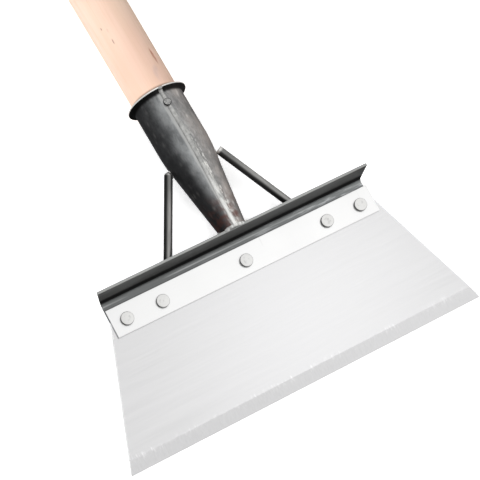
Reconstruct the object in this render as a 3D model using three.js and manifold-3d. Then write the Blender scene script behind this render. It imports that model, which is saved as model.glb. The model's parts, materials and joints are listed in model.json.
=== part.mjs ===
// Floor scraper with a long wooden handle: a trapezoid steel blade is clamped between a flat
// strip and a folded angle bar by five rivets, and a rolled steel socket with two round-bar
// braces is welded to the angle bar's flange and takes the handle.
//
// Millimetres. Tool frame: x across the blade, y from the cutting edge towards the handle,
// z out of the blade's front face, with the cutting edge's back corner on the x axis.
// The finished tool lies face up on its cutting edge and on the butt of its handle, +Z up.
import * as THREE from "three";
import { mergeVertices } from "three/addons/utils/BufferGeometryUtils.js";
import Module from "manifold-3d";

// Blade
const edgeLength = 300; // cutting edge, corner to corner
const bladeHeight = 113;
const shoulderLength = 218; // blade's top edge, under the strip
const bladeSheet = 2;
const bevelWidth = 10; // ground bevel on the front face
const edgeLand = 0.4; // thickness left at the cutting edge

// Clamp strip and angle bar
const stripOverhang = 3; // strip past the blade's top corners, each end
const stripWidth = 22;
const stripSheet = 1.5;
const barShort = 0.5; // leg's ends short of the strip's ends
const flangeFlare = 3; // flange's top corners out past the leg's ends, each end
const barSheet = 2;
const legRise = 28.4; // leg's lower edge up to the inner corner of the fold
const flangeWidth = 20.5; // inner corner of the fold up to the flange's top edge
const flangeAngle = 78; // degrees the flange is folded up from the leg
const foldRadius = 3; // inside the fold

// Blade rivets
const rivetFromBladeTop = 10.5;
const rivetFromStripEdge = 10.1; // above the lower edges of the strip and the leg
const rivetFromStripEnd = 12;
const rivetPairPitch = 29.5;
const shankDiameter = 5;
const headDiameter = 10;
const headHeight = 2;
const tailDiameter = 9;
const tailHeight = 1.6;

// Socket
const lean = 6.7; // degrees the handle falls back behind the blade's plane
const socketRise = 24; // y of the socket's foot above the rivets
const socketForward = 11.8; // z of the socket's axis there
const socketLength = 117; // foot to mouth
const socketSheet = 1.3;
const footRadius = 10.8;
const coneLength = 69;
const coneBlend = 9; // half the length over which the cone runs into the cylinder
const rimProjection = 4.3;
const rimFillet = 2.6;
const seamWidth = 3.4; // gap between the rolled sheet's edges
const seamCrown = 0.35; // weld standing proud of the sheet

// Handle
const handleDiameter = 40;
const handleLength = 1200;
const handleEndDiameter = 37; // turned down where it enters the socket
const handleNeckDiameter = 37.7; // just above the socket
const handleShoulder = 3; // length of the step from the turned end to the neck
const handleTaper = 210; // length over which the neck grows to the full diameter
const handleTipRise = 38; // end of the wood above the socket's foot
const tipChamfer = 3;
const buttRound = 7;

// Cross rivet through socket and handle
const crossRivetDrop = 12.5; // below the socket's mouth
const crossShankDiameter = 4;
const crossHeadDiameter = 6.2;
const crossHeadHeight = 1.3;

// Braces
const braceDiameter = 6.5;
const braceTopRise = 59; // along the socket from its foot
const braceForward = 1.7; // in front of the socket's axis at the top
const braceFootSpread = 54.7; // x of the foot
const braceFootLevel = 1.5; // z of the foot
const braceEnd = 1.5; // past the point where the bar touches the socket
const footWeldRadius = 5.4;
const topWeldRadius = 4.6;

// Welds between socket and flange
const ringBead = 2; // section radius
const frontBeadReach = 46; // degrees each side of the front
const backBeadReach = 104; // degrees each side of the back

// Clearances
const seatGap = 0.3; // between faces that touch
const shankGap = 0.3; // around a rivet's shank
const woodGap = 0.3; // around the wood in its socket

const roundSides = 40;
const rivetSides = 20;
const rodSides = 16;
const beadSides = 8;
const mergeDistance = 1e-3;
const reach = 400; // longer than anything a cutter has to pass through

const stripLength = shoulderLength + 2 * stripOverhang;
const barLength = stripLength - 2 * barShort;
const rivetLine = bladeHeight - rivetFromBladeTop;
const lowerEdge = rivetLine - rivetFromStripEdge;
const stripBack = bladeSheet + seatGap;
const stripFront = stripBack + stripSheet;
const legFront = -seatGap;
const legBack = legFront - barSheet;
const outerRivet = stripLength / 2 - rivetFromStripEnd;
const innerRivet = outerRivet - rivetPairPitch;
const fold = THREE.MathUtils.degToRad(flangeAngle);
const leanAngle = THREE.MathUtils.degToRad(lean);
const mouthBore = handleEndDiameter / 2 + woodGap;
const mouthRadius = mouthBore + socketSheet;
const crossRivetRise = socketLength - crossRivetDrop;

const wasm = await Module();
wasm.setup();

function solidFrom(geometry) {
  const bare = geometry.clone();
  bare.deleteAttribute("normal");
  bare.deleteAttribute("uv");
  const merged = mergeVertices(bare, mergeDistance);
  return new wasm.Manifold(
    new wasm.Mesh({
      numProp: 3,
      vertProperties: merged.attributes.position.array,
      triVerts: new Uint32Array(merged.index.array),
    }),
  );
}

function geometryFrom(solid) {
  const { numProp, numVert, vertProperties, triVerts } = solid.getMesh();
  const positions = new Float32Array(numVert * 3);
  for (let i = 0; i < numVert; i++) {
    positions.set(vertProperties.subarray(i * numProp, i * numProp + 3), i * 3);
  }
  const geometry = new THREE.BufferGeometry();
  geometry.setAttribute("position", new THREE.BufferAttribute(positions, 3));
  geometry.setIndex(new THREE.BufferAttribute(triVerts, 1));
  const faceted = geometry.toNonIndexed();
  faceted.computeVertexNormals();
  return faceted;
}

function named(name, geometry, material) {
  const mesh = new THREE.Mesh(geometry, material);
  mesh.name = name;
  return mesh;
}

// A side profile drawn in y and z, drawn out along x and centred on it.
function acrossTool(shape, length) {
  const geometry = new THREE.ExtrudeGeometry(shape, {
    depth: length,
    bevelEnabled: false,
    curveSegments: 8,
  });
  geometry.translate(0, 0, -length / 2);
  const yAxis = new THREE.Vector3(0, 1, 0);
  const zAxis = new THREE.Vector3(0, 0, 1);
  const xAxis = new THREE.Vector3(1, 0, 0);
  return geometry.applyMatrix4(new THREE.Matrix4().makeBasis(yAxis, zAxis, xAxis));
}

// A round bar from one point to another.
function roundBar(from, to, radius, sides) {
  const along = new THREE.Vector3().subVectors(to, from);
  const geometry = new THREE.CylinderGeometry(radius, radius, along.length(), sides);
  const turn = new THREE.Quaternion().setFromUnitVectors(
    new THREE.Vector3(0, 1, 0),
    along.clone().normalize(),
  );
  geometry.applyQuaternion(turn);
  geometry.translate(...new THREE.Vector3().addVectors(from, to).multiplyScalar(0.5).toArray());
  return geometry;
}

// Materials
function groundSteel() {
  return new THREE.MeshStandardMaterial({ color: 0xd2d3d4, roughness: 0.32, metalness: 1 });
}

function brightSteel() {
  return new THREE.MeshStandardMaterial({ color: 0xe8e8e8, roughness: 0.38, metalness: 1 });
}

function blackSteel() {
  return new THREE.MeshStandardMaterial({ color: 0x4a4a4a, roughness: 0.5, metalness: 0.8 });
}

function weldMetal() {
  return new THREE.MeshStandardMaterial({ color: 0x77736f, roughness: 0.45, metalness: 0.9 });
}

function rivetSteel() {
  return new THREE.MeshStandardMaterial({ color: 0xdcdcd8, roughness: 0.42, metalness: 0.9 });
}

function paleWood() {
  return new THREE.MeshStandardMaterial({ color: 0xfbdcc2, roughness: 0.6, metalness: 0 });
}

// Blade and clamp strip

function rivetHoles(shape, y) {
  for (const x of [-outerRivet, -innerRivet, 0, innerRivet, outerRivet]) {
    const hole = new THREE.Path();
    hole.absarc(x, y, shankDiameter / 2 + shankGap, 0, 2 * Math.PI, true);
    shape.holes.push(hole);
  }
}

function bladeGeometry() {
  const outline = new THREE.Shape([
    new THREE.Vector2(-edgeLength / 2, 0),
    new THREE.Vector2(edgeLength / 2, 0),
    new THREE.Vector2(shoulderLength / 2, bladeHeight),
    new THREE.Vector2(-shoulderLength / 2, bladeHeight),
  ]);
  rivetHoles(outline, rivetLine);
  const plate = new THREE.ExtrudeGeometry(outline, {
    depth: 2 * bladeSheet,
    bevelEnabled: false,
    curveSegments: 10,
  });
  plate.translate(0, 0, -bladeSheet / 2);
  const section = new THREE.Shape([
    new THREE.Vector2(0, 0),
    new THREE.Vector2(bladeHeight, 0),
    new THREE.Vector2(bladeHeight, bladeSheet),
    new THREE.Vector2(bevelWidth, bladeSheet),
    new THREE.Vector2(0, edgeLand),
  ]);
  const ground = acrossTool(section, edgeLength + 2);
  return geometryFrom(solidFrom(plate).intersect(solidFrom(ground)));
}

function stripGeometry() {
  const outline = new THREE.Shape([
    new THREE.Vector2(-stripLength / 2, 0),
    new THREE.Vector2(stripLength / 2, 0),
    new THREE.Vector2(stripLength / 2, stripWidth),
    new THREE.Vector2(-stripLength / 2, stripWidth),
  ]);
  rivetHoles(outline, rivetFromStripEdge);
  return new THREE.ExtrudeGeometry(outline, {
    depth: stripSheet,
    bevelEnabled: false,
    curveSegments: 10,
  });
}

// Angle bar: the leg lies behind the blade and the flange stands up in front of it.
// The fold's centre, and the directions along and square to the flange, in y and z.
const foldCentre = new THREE.Vector2(
  lowerEdge + legRise - foldRadius * Math.tan(fold / 2),
  legFront + foldRadius,
);
const flangeUp = new THREE.Vector2(Math.cos(fold), Math.sin(fold));
const flangeOut = new THREE.Vector2(Math.sin(fold), -Math.cos(fold));
const flangeTop = new THREE.Vector2(lowerEdge + legRise, legFront).addScaledVector(
  flangeUp,
  flangeWidth,
);

// A point of the bar's outer side, at a distance out of its flange's outer face.
function onFlange(along, out) {
  const inner = new THREE.Vector2(lowerEdge + legRise, legFront);
  inner.addScaledVector(flangeUp, along);
  return inner.addScaledVector(flangeOut, barSheet + out);
}

// The flange's ends are sheared aslant, so that they lean out from the fold to the top edge.
function flaredEnds(geometry) {
  const places = geometry.getAttribute("position");
  for (let i = 0; i < places.count; i++) {
    const share = Math.max(0, places.getZ(i) - legFront) / (flangeTop.y - legFront);
    places.setX(i, places.getX(i) + Math.sign(places.getX(i)) * flangeFlare * share);
  }
  return geometry;
}

function barGeometry() {
  const section = new THREE.Shape();
  const { x: cy, y: cz } = foldCentre;
  const topOuter = flangeTop.clone().addScaledVector(flangeOut, barSheet);
  section.moveTo(lowerEdge, legBack);
  section.absarc(cy, cz, foldRadius + barSheet, -Math.PI / 2, fold - Math.PI / 2, false);
  section.lineTo(topOuter.x, topOuter.y);
  section.lineTo(flangeTop.x, flangeTop.y);
  section.absarc(cy, cz, foldRadius, fold - Math.PI / 2, -Math.PI / 2, true);
  section.lineTo(lowerEdge, legFront);
  section.closePath();
  let bar = solidFrom(flaredEnds(acrossTool(section, barLength)));
  for (const x of [-outerRivet, -innerRivet, 0, innerRivet, outerRivet]) {
    const from = new THREE.Vector3(x, rivetLine, legBack - 1);
    const to = new THREE.Vector3(x, rivetLine, legFront + 1);
    bar = bar.subtract(solidFrom(roundBar(from, to, shankDiameter / 2 + shankGap, rivetSides)));
  }
  return geometryFrom(bar);
}

// Everything on the blade's side of a surface that stands off the bar's outer side.
function bladeSideOf(gap) {
  const region = new THREE.Shape();
  const { x: cy, y: cz } = foldCentre;
  const high = onFlange(reach, gap);
  region.moveTo(cy - reach, legBack - gap);
  region.absarc(cy, cz, foldRadius + barSheet + gap, -Math.PI / 2, fold - Math.PI / 2, false);
  region.lineTo(high.x, high.y);
  region.lineTo(cy - reach, high.y);
  region.closePath();
  return solidFrom(acrossTool(region, reach));
}

// Blade rivets: a flat factory head in front and a formed tail behind the leg.
function rivetGeometry() {
  const shank = shankDiameter / 2;
  const head = headDiameter / 2;
  const tail = tailDiameter / 2;
  const headSeat = stripFront + seatGap;
  const tailSeat = legBack - seatGap;
  const soften = headHeight / 4;
  const profile = [
    new THREE.Vector2(0, tailSeat - tailHeight),
    new THREE.Vector2(tail - 2 * soften, tailSeat - tailHeight),
    new THREE.Vector2(tail, tailSeat - tailHeight + soften),
    new THREE.Vector2(tail, tailSeat),
    new THREE.Vector2(shank, tailSeat),
    new THREE.Vector2(shank, headSeat),
    new THREE.Vector2(head, headSeat),
    new THREE.Vector2(head, headSeat + headHeight - soften),
    new THREE.Vector2(head - soften, headSeat + headHeight),
    new THREE.Vector2(0, headSeat + headHeight),
  ];
  const geometry = new THREE.LatheGeometry(profile, rivetSides);
  return geometry.rotateX(Math.PI / 2);
}

// Socket line: the frame of the socket and the handle, y along their common axis.
const socketLine = new THREE.Group();
socketLine.position.set(0, rivetLine + socketRise, socketForward);
socketLine.rotation.x = -leanAngle;
socketLine.updateMatrix();

// Outer radius of the socket's sheet at a rise above its foot: a cone, an even blend, a cylinder.
function socketRadius(rise) {
  const slope = (mouthRadius - footRadius) / coneLength;
  if (rise <= coneLength - coneBlend) return footRadius + slope * rise;
  if (rise >= coneLength + coneBlend) return mouthRadius;
  const left = coneLength + coneBlend - rise;
  return mouthRadius - (slope * left * left) / (4 * coneBlend);
}

// Rises at which the socket's profile has a point between its foot and its mouth.
function socketRises(from, to) {
  const rises = [from];
  const steps = 6;
  for (let i = 0; i <= steps; i++) {
    rises.push(coneLength - coneBlend + (2 * coneBlend * i) / steps);
  }
  rises.push(to);
  return rises.filter((rise) => rise >= from && rise <= to);
}

const belowFoot = -12; // the rolled cone starts below its foot and is cut to meet the flange

// The socket's outer skin, standing off its sheet by a gap, as one filled solid.
function socketBody(gap) {
  const profile = socketRises(belowFoot, socketLength).map(
    (rise) => new THREE.Vector2(socketRadius(rise) + gap, rise),
  );
  profile.unshift(new THREE.Vector2(0, belowFoot));
  profile.push(new THREE.Vector2(0, socketLength));
  const geometry = new THREE.LatheGeometry(profile, roundSides);
  return solidFrom(geometry.applyMatrix4(socketLine.matrix));
}

function socketGeometry() {
  const rimUnder = socketLength - socketSheet;
  const filletTop = rimUnder - rimFillet;
  const outer = socketRises(belowFoot, filletTop);
  const profile = outer.map((rise) => new THREE.Vector2(socketRadius(rise), rise));
  const arcSteps = 5;
  const arc = (radius, i) => {
    const turn = (Math.PI / 2) * (i / arcSteps);
    const x = mouthRadius + rimFillet - radius * Math.cos(turn);
    return new THREE.Vector2(x, filletTop + radius * Math.sin(turn));
  };
  for (let i = 1; i <= arcSteps; i++) profile.push(arc(rimFillet, i));
  profile.push(new THREE.Vector2(mouthRadius + rimProjection, rimUnder));
  profile.push(new THREE.Vector2(mouthRadius + rimProjection, socketLength));
  for (let i = arcSteps; i >= 0; i--) profile.push(arc(rimFillet + socketSheet, i));
  for (const rise of outer.slice(0, -1).reverse()) {
    profile.push(new THREE.Vector2(socketRadius(rise) - socketSheet, rise));
  }
  profile.push(profile[0].clone());
  const rolled = new THREE.LatheGeometry(profile, roundSides);
  const seam = new THREE.BoxGeometry(seamWidth, reach, reach / 2);
  seam.translate(0, 0, reach / 4);
  const drill = roundBar(
    new THREE.Vector3(0, crossRivetRise, -reach / 4),
    new THREE.Vector3(0, crossRivetRise, reach / 4),
    crossShankDiameter / 2 + shankGap,
    rivetSides,
  );
  const whole = solidFrom(rolled).subtract(solidFrom(seam)).subtract(solidFrom(drill));
  const placed = solidFrom(geometryFrom(whole).applyMatrix4(socketLine.matrix));
  return geometryFrom(placed.subtract(bladeSideOf(seatGap)));
}

// Weld that fills the socket's seam between two rises, standing a little proud.
function seamWeldGeometry(from, to, cutToFlange) {
  const section = new THREE.Shape();
  const rises = socketRises(from, to);
  section.moveTo(rises[0], socketRadius(rises[0]) - socketSheet);
  for (const rise of rises.slice(1)) section.lineTo(rise, socketRadius(rise) - socketSheet);
  for (const rise of rises.reverse()) section.lineTo(rise, socketRadius(rise) + seamCrown);
  section.closePath();
  const bead = solidFrom(
    acrossTool(section, seamWidth - 2 * seatGap).applyMatrix4(socketLine.matrix),
  );
  return geometryFrom(cutToFlange ? bead.subtract(bladeSideOf(seatGap)) : bead);
}

// Rivet through socket and handle, a low head on each side.
function crossRivetGeometry() {
  const shank = crossShankDiameter / 2;
  const head = crossHeadDiameter / 2;
  const seat = mouthRadius + seamCrown + seatGap;
  const soften = crossHeadHeight / 3;
  const half = [
    new THREE.Vector2(shank, seat),
    new THREE.Vector2(head, seat),
    new THREE.Vector2(head, seat + crossHeadHeight - soften),
    new THREE.Vector2(head - 2 * soften, seat + crossHeadHeight),
    new THREE.Vector2(0, seat + crossHeadHeight),
  ];
  const mirrored = half.map((p) => new THREE.Vector2(p.x, -p.y)).reverse();
  const geometry = new THREE.LatheGeometry([...mirrored, ...half], rivetSides);
  return geometry.rotateX(Math.PI / 2);
}

function handleGeometry() {
  const radius = handleDiameter / 2;
  const butt = handleTipRise + handleLength;
  const fits = (rise) => new THREE.Vector2(socketRadius(rise) - socketSheet - woodGap, rise);
  const tip = fits(handleTipRise + tipChamfer);
  const profile = [
    new THREE.Vector2(0, handleTipRise),
    new THREE.Vector2(tip.x - tipChamfer, handleTipRise),
  ];
  const seated = socketRises(handleTipRise + tipChamfer, socketLength);
  for (const rise of seated) profile.push(fits(rise));
  const neck = socketLength + handleShoulder;
  profile.push(new THREE.Vector2(handleNeckDiameter / 2, neck));
  profile.push(new THREE.Vector2(radius, neck + handleTaper));
  const steps = 6;
  for (let i = 0; i <= steps; i++) {
    const turn = (Math.PI / 2) * (i / steps);
    const x = radius - buttRound + buttRound * Math.cos(turn);
    profile.push(new THREE.Vector2(x, butt - buttRound + buttRound * Math.sin(turn)));
  }
  profile.push(new THREE.Vector2(0, butt));
  const drill = roundBar(
    new THREE.Vector3(0, crossRivetRise, -handleDiameter),
    new THREE.Vector3(0, crossRivetRise, handleDiameter),
    crossShankDiameter / 2 + shankGap,
    rivetSides,
  );
  const turned = solidFrom(new THREE.LatheGeometry(profile, roundSides));
  return geometryFrom(turned.subtract(solidFrom(drill)));
}

// Braces: their centre lines from the flange's outer side up to the socket's flank.
function braceLine(side) {
  const touch = socketRadius(braceTopRise) + braceDiameter / 2;
  const top = new THREE.Vector3(side * touch, braceTopRise, braceForward);
  top.applyMatrix4(socketLine.matrix);
  const onFace = (braceFootLevel - legFront) / Math.sin(fold);
  const foot = new THREE.Vector3(side * braceFootSpread, onFlange(onFace, 0).x, braceFootLevel);
  const up = new THREE.Vector3().subVectors(top, foot).normalize();
  return { foot, top, up };
}

// One brace, grown by a gap and left uncut when it serves to cut a weld.
function braceBar(side, gap) {
  const { foot, top, up } = braceLine(side);
  const from = foot.clone().addScaledVector(up, -braceDiameter / 2);
  const to = top.clone().addScaledVector(up, braceEnd + gap);
  return solidFrom(roundBar(from, to, braceDiameter / 2 + gap, rodSides));
}

function braceGeometry(side) {
  const bar = braceBar(side, 0);
  return geometryFrom(bar.subtract(bladeSideOf(seatGap)).subtract(socketBody(seatGap)));
}

function beadBall(centre, radius) {
  const ball = new THREE.SphereGeometry(radius, 16, 10);
  ball.translate(...centre.toArray());
  return solidFrom(ball);
}

// Weld collar round a brace's foot, on the flange's outer side.
function footWeldGeometry(side) {
  const { foot } = braceLine(side);
  const collar = beadBall(foot, footWeldRadius);
  return geometryFrom(collar.subtract(bladeSideOf(seatGap)).subtract(braceBar(side, seatGap)));
}

// Weld over a brace's upper end and on to the socket.
function topWeldGeometry(side) {
  const { top, up } = braceLine(side);
  const centre = top.clone().addScaledVector(up, braceEnd);
  const blob = beadBall(centre, topWeldRadius);
  return geometryFrom(blob.subtract(socketBody(seatGap)).subtract(braceBar(side, seatGap)));
}

// Bead between the socket and the flange: an arc of a circle about the socket's axis, in a plane
// along the flange's outer face. Reach is in degrees each side of the middle of the arc.
function ringBeadSolid(radius, out, middle, reachAngle) {
  const along = (socketForward - legFront) / Math.sin(fold);
  const origin = onFlange(along, out);
  const points = [];
  const steps = 14;
  for (let i = 0; i <= steps; i++) {
    const turn = THREE.MathUtils.degToRad(middle + reachAngle * ((2 * i) / steps - 1));
    const rise = radius * Math.sin(turn);
    points.push(
      new THREE.Vector3(
        radius * Math.cos(turn),
        origin.x + rise * flangeUp.x,
        origin.y + rise * flangeUp.y,
      ),
    );
  }
  const section = new THREE.Shape();
  section.absarc(0, 0, ringBead, 0, 2 * Math.PI, false);
  return solidFrom(
    new THREE.ExtrudeGeometry(section, {
      extrudePath: new THREE.CatmullRomCurve3(points),
      steps,
      curveSegments: beadSides,
      bevelEnabled: false,
    }),
  );
}

// Front bead: lies on the flange's top edge and closes the socket's end above it.
function frontWeldGeometry() {
  const endPlane = new THREE.BoxGeometry(reach, reach, reach);
  endPlane.translate(0, reach / 2, 0);
  endPlane.rotateX(fold - Math.PI / 2);
  const corner = onFlange(flangeWidth, 0);
  endPlane.translate(0, corner.x, corner.y);
  const flange = new THREE.BoxGeometry(reach, barSheet + 2 * seatGap, 2 * flangeWidth);
  flange.translate(0, -barSheet / 2, -flangeWidth + seatGap);
  flange.rotateX(fold - Math.PI / 2);
  flange.translate(0, corner.x, corner.y);
  const bead = ringBeadSolid(footRadius - socketSheet / 2, -barSheet / 2, 90, frontBeadReach);
  return geometryFrom(bead.subtract(solidFrom(endPlane)).subtract(solidFrom(flange)));
}

// Back bead: runs round the rest of the socket in the corner with the flange's outer face.
function backWeldGeometry() {
  const bead = ringBeadSolid(footRadius + ringBead / 3, ringBead / 2, -90, backBeadReach);
  return geometryFrom(bead.subtract(bladeSideOf(seatGap)).subtract(socketBody(seatGap)));
}

// Assembly
const tool = new THREE.Group();

function addHead() {
  tool.add(named("blade", bladeGeometry(), groundSteel()));
  const strip = named("clamp_strip", stripGeometry(), brightSteel());
  strip.position.set(0, lowerEdge, stripBack);
  tool.add(strip);
  tool.add(named("angle_bar", barGeometry(), blackSteel()));
  const places = {
    left_outer: -outerRivet,
    left_inner: -innerRivet,
    middle: 0,
    right_inner: innerRivet,
    right_outer: outerRivet,
  };
  for (const [place, x] of Object.entries(places)) {
    const rivet = named(`blade_rivet_${place}`, rivetGeometry(), rivetSteel());
    rivet.position.set(x, rivetLine, 0);
    tool.add(rivet);
  }
}

function addSocketAndHandle() {
  tool.add(named("socket", socketGeometry(), blackSteel()));
  const holeEdge = crossShankDiameter / 2 + shankGap + seatGap;
  const rimUnder = socketLength - socketSheet - rimFillet;
  const lower = seamWeldGeometry(belowFoot, crossRivetRise - holeEdge, true);
  const upper = seamWeldGeometry(crossRivetRise + holeEdge, rimUnder, false);
  tool.add(named("seam_weld_lower", lower, weldMetal()));
  tool.add(named("seam_weld_upper", upper, weldMetal()));
  socketLine.add(named("handle", handleGeometry(), paleWood()));
  const rivet = named("socket_rivet", crossRivetGeometry(), rivetSteel());
  rivet.position.set(0, crossRivetRise, 0);
  socketLine.add(rivet);
  tool.add(socketLine);
}

function addBracesAndWelds() {
  for (const [name, side] of Object.entries({ left: -1, right: 1 })) {
    tool.add(named(`brace_${name}`, braceGeometry(side), blackSteel()));
    tool.add(named(`brace_${name}_foot_weld`, footWeldGeometry(side), weldMetal()));
    tool.add(named(`brace_${name}_top_weld`, topWeldGeometry(side), weldMetal()));
  }
  tool.add(named("socket_weld_front", frontWeldGeometry(), weldMetal()));
  tool.add(named("socket_weld_back", backWeldGeometry(), weldMetal()));
}

addHead();
addSocketAndHandle();
addBracesAndWelds();

// Rest pose: seen from the side, the line from the cutting edge that just touches the underside
// of the rest of the tool lies level.
function restAngle() {
  const corner = new THREE.Vector3();
  let lowest = 0;
  tool.updateMatrixWorld(true);
  tool.traverse((mesh) => {
    if (!mesh.isMesh) return;
    const places = mesh.geometry.getAttribute("position");
    for (let i = 0; i < places.count; i++) {
      corner.fromBufferAttribute(places, i).applyMatrix4(mesh.matrixWorld);
      if (corner.y > bladeHeight) lowest = Math.min(lowest, Math.atan2(corner.z, corner.y));
    }
  });
  return lowest;
}

tool.rotation.x = -restAngle();
const scraper = new THREE.Group();
scraper.add(tool);
const box = new THREE.Box3().setFromObject(scraper, true);
tool.position.set(0, -(box.min.y + box.max.y) / 2, -box.min.z);

export default scraper;
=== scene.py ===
import json
import math

import bmesh
import bpy
from mathutils import Euler, Matrix, Vector, noise


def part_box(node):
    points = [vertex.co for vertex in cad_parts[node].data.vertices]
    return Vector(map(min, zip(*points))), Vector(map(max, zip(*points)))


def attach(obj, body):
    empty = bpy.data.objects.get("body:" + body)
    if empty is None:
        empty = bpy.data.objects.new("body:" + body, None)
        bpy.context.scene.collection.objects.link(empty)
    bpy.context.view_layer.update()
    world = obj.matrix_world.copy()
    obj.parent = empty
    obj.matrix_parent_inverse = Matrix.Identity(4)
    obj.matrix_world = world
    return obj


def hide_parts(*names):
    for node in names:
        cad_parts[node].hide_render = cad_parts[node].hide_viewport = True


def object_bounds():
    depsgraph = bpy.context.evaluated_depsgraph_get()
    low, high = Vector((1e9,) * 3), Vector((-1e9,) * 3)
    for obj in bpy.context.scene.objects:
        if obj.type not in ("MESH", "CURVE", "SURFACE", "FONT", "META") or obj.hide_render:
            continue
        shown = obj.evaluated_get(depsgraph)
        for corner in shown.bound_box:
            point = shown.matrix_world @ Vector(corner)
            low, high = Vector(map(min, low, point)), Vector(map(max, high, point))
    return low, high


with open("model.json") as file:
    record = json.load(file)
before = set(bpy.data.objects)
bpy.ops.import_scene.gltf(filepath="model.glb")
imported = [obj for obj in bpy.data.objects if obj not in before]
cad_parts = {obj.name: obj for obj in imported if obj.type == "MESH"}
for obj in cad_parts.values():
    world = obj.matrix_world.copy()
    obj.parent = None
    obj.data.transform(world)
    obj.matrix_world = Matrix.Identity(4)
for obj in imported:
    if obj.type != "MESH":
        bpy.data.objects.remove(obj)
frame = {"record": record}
cad_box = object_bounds()
scene = bpy.context.scene

# ---------------------------------------------------------------------------------------------
# Where the tool lies. It rests face up on its cutting edge and on the butt of its handle.
# The head has a frame of its own: x across the blade, y from the cutting edge to the handle,
# z out of the blade's face. The socket and handle have one along their common axis.
HANDLE_LEAN = math.radians(6.7)
EDGE_LAND = 0.0004
SOCKET_FOOT = Vector((0, 0.1265, 0.0118))

mounts = {mount["name"]: mount for mount in frame["record"]["mounts"]}
handle_axis = Vector(mounts["handle_butt"]["axis"])
blade_tilt = HANDLE_LEAN + math.asin(handle_axis.z)
blade_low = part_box("blade")[0]
edge_corner = Vector((0, blade_low.y + EDGE_LAND * math.sin(blade_tilt), blade_low.z))
head_place = Matrix.Translation(edge_corner) @ Matrix.Rotation(blade_tilt, 4, "X")
socket_place = head_place @ Matrix.Translation(SOCKET_FOOT) @ Matrix.Rotation(-HANDLE_LEAN, 4, "X")


# ---------------------------------------------------------------------------------------------
# Camera: a long lens above and to the left of the blade, looking down at the socket's foot.
CAMERA_STAND = Vector((-0.39977, -0.08766, 1.30161))
CAMERA_TURN = [math.radians(angle) for angle in (15.8077, -11.1012, -28.7189)]

camera = bpy.data.objects.new("camera", bpy.data.cameras.new("camera"))
camera.data.sensor_width = 36
camera.data.lens = 139.32
camera.matrix_world = head_place @ Matrix.LocRotScale(CAMERA_STAND, Euler(CAMERA_TURN), None)
scene.collection.objects.link(camera)
scene.camera = camera


# ---------------------------------------------------------------------------------------------
# Studio: a pale floor in a room that is white to the right and dark to the left. The metal
# mirrors the room and a round softbox over the blade. The wood and the paper are lit by two
# soft lights, one from above and one from the left.
ROOM_DARK = (0.17, 0.17, 0.175)
ROOM_WHITE = (1.05, 1.046, 1.038)
ROOM_WHITE_SIDE = (0.86, -0.05, 0.50)
ROOM_DIM_FROM = -0.6
ROOM_WHITE_FROM = 0.72
ROOM_FLOOR_LINE = (-0.4, 0.15)  # below it the room is dark all round
FLOOR_SIZE = 200
FLOOR_GLOW = 0.5
PAPER_TONES = ((0.93, 0.93, 0.93), (0.96, 0.96, 0.96))
SOFT_LIGHTS = {  # strength, disc in degrees, and where it comes from, in the head's frame
    "overhead_light": (2.8, 70, (-0.25, 0.1, 1.0)),
    "fill_light": (0.8, 60, (-1.0, 0.0, 0.4)),
}
SOFTBOX_ROUND = 0.4
SOFTBOX_POWER = 0.2
SOFTBOX_STAND = Vector((0.50, 0.17, 1.45))


class Value:
    """One socket of a node tree, which can be used in sums."""

    def __init__(self, nodes, socket):
        self.nodes = nodes
        self.socket = socket

    def __add__(self, other):
        return self.nodes.sum("ADD", self, other)

    def __radd__(self, other):
        return self.nodes.sum("ADD", other, self)

    def __sub__(self, other):
        return self.nodes.sum("SUBTRACT", self, other)

    def __rsub__(self, other):
        return self.nodes.sum("SUBTRACT", other, self)

    def __mul__(self, other):
        return self.nodes.sum("MULTIPLY", self, other)

    def __truediv__(self, other):
        return self.nodes.sum("DIVIDE", self, other)

    def __pow__(self, power):
        return self.nodes.sum("POWER", self, power)

    def size(self):
        return self.nodes.sum("ABSOLUTE", self)

    def output(self, name):
        return Value(self.nodes, self.nodes.socket(self.socket.node.outputs, name))

    def between(self, low, high):
        """0 up to low, 1 from high on, and a smooth step between them."""
        ends = {"Value": self, "From Min": low, "From Max": high}
        return self.nodes.node("ShaderNodeMapRange", {"interpolation_type": "SMOOTHSTEP"}, ends)


class Nodes:
    """A node tree, with short ways to add nodes to it and to link them."""

    def __init__(self, tree):
        self.tree = tree

    @staticmethod
    def socket(sockets, name):
        for socket in sockets:
            if name in (socket.identifier, socket.name) and socket.enabled:
                return socket
        raise KeyError(name)

    def node(self, kind, settings=None, inputs=None, output=None):
        made = self.tree.nodes.new(kind)
        for name, value in (settings or {}).items():
            setattr(made, name, value)
        for name, value in (inputs or {}).items():
            self.feed(self.socket(made.inputs, name), value)
        if output:
            return Value(self, self.socket(made.outputs, output))
        return Value(self, next((socket for socket in made.outputs if socket.enabled), None))

    def feed(self, socket, value):
        if isinstance(value, Value):
            self.tree.links.new(value.socket, socket)
        else:
            socket.default_value = value

    def sum(self, operation, *values):
        made = self.tree.nodes.new("ShaderNodeMath")
        made.operation = operation
        for socket, value in zip(made.inputs, values):
            self.feed(socket, value)
        return Value(self, made.outputs[0])

    def mixed(self, share, first, second):
        """The first colour, which turns into the second as the share goes from 0 to 1."""
        colours = [c if isinstance(c, Value) else (*c, 1) for c in (first, second)]
        inputs = {"Factor_Float": share, "A_Color": colours[0], "B_Color": colours[1]}
        return self.node("ShaderNodeMix", {"data_type": "RGBA"}, inputs, "Result_Color")


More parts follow.
